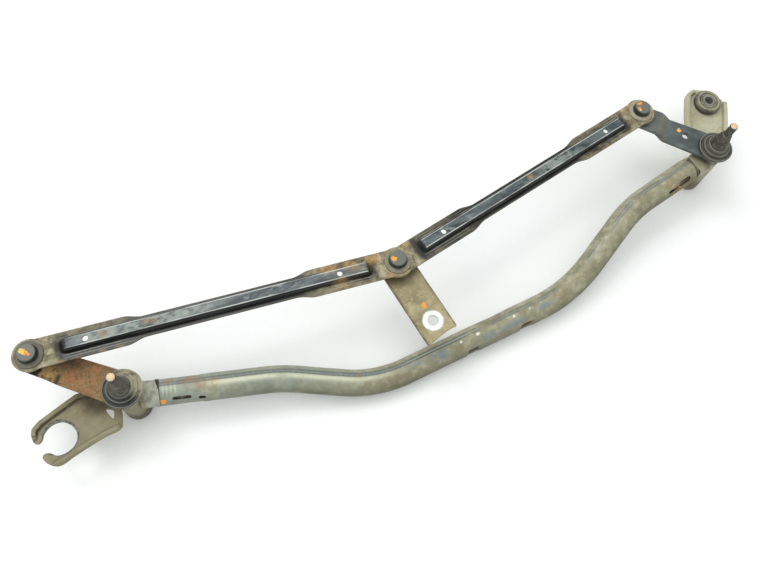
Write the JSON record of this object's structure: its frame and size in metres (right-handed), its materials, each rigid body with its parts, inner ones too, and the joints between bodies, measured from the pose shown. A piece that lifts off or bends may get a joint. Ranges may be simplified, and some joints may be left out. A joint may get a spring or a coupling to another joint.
{
  "type": "wiper linkage",
  "caption": "Windscreen wiper linkage: two threaded spindles in cast housings on a bent steel tube, cranks, pressed drive rods with ball joints and a loose motor crank.",
  "frame": {"origin": "centre of the flat foot of the left spindle housing, on the surface that the linkage lies on", "axes": "+X from the left spindle to the right one, +Z along the spindles towards their threads, +Y away from the frame tube's bend"},
  "size_m": [0.7668, 0.1622, 0.107],
  "materials": {
    "galvanised_tube": "galvanised steel with a film of dry dirt and a darker seam",
    "housing_casting": "die casting, matt and dirty",
    "rusty_plate": "thin black paint, mostly rusted through",
    "black_plate": "satin blue-black paint",
    "black_rod": "gloss black paint, dusty on its wings, rust at its edges",
    "crank_plate": "olive plating, dull, with a bright ring round the hole",
    "socket_plastic": "dark grey moulded plastic",
    "black_rubber": "black rubber, dusty",
    "spindle_steel": "blackened turned steel",
    "bright_steel": "zinc plated steel",
    "bronze": "sintered bronze"
  },
  "bodies": {
    "frame": {"frame_tube": "galvanised_tube", "left_housing": "housing_casting", "right_housing": "housing_casting", "left_upper_bush": "bronze", "left_lower_bush": "bronze", "right_upper_bush": "bronze", "right_lower_bush": "bronze", "left_end_plug": "socket_plastic", "right_end_plug": "socket_plastic", "tab_grommet": "black_rubber", "grommet_sleeve": "bright_steel"},
    "left_crank": {"left_spindle": "spindle_steel", "left_lever": "rusty_plate", "left_dust_cap": "black_rubber", "left_top_washer": "spindle_steel", "left_bottom_washer": "spindle_steel", "left_circlip": "spindle_steel", "left_ball_stud": "spindle_steel"},
    "left_rod_body": {"left_rod": "black_rod", "left_joint_socket": "socket_plastic", "centre_joint_socket": "socket_plastic"},
    "right_rod_body": {"right_rod": "black_rod", "right_joint_socket": "socket_plastic", "centre_bush": "socket_plastic"},
    "motor_crank": {"motor_crank_plate": "crank_plate", "motor_crank_ball_stud": "spindle_steel"},
    "right_crank": {"right_spindle": "spindle_steel", "right_lever": "black_plate", "right_dust_cap": "black_rubber", "right_top_washer": "spindle_steel", "right_bottom_washer": "spindle_steel", "right_circlip": "spindle_steel", "right_ball_stud": "spindle_steel"}
  },
  "joints": [
    {"name": "left_spindle_turn", "type": "hinge", "parent": "frame", "child": "left_crank", "pos_m": [0, 0, 0.061], "axis": [0, 0, 1], "range_deg": [-88, 8]},
    {"name": "left_rod_swing", "type": "hinge", "parent": "left_crank", "child": "left_rod_body", "pos_m": [-0.05874, 0.05402, 0.0805], "axis": [0, 0, 1], "range_deg": [-9, 92]},
    {"name": "right_rod_swing", "type": "hinge", "parent": "left_rod_body", "child": "right_rod_body", "pos_m": [0.26237, 0.00934, 0.0785], "axis": [0, 0, 1], "range_deg": [-9, 2]},
    {"name": "motor_crank_turn", "type": "hinge", "parent": "left_rod_body", "child": "motor_crank", "pos_m": [0.26237, 0.00934, 0.068], "axis": [0, 0, 1], "continuous": true},
    {"name": "right_spindle_turn", "type": "hinge", "parent": "frame", "child": "right_crank", "pos_m": [0.6212, 0, 0.061], "axis": [0, 0, 1], "range_deg": [-86, 9]}
  ],
  "couplings": [
    {"joint": "left_rod_swing", "follows": "left_spindle_turn", "ratio": -1.0369},
    {"joint": "right_rod_swing", "follows": "left_spindle_turn", "ratio": 0.0885},
    {"joint": "right_spindle_turn", "follows": "left_spindle_turn", "ratio": 0.9649}
  ]
}
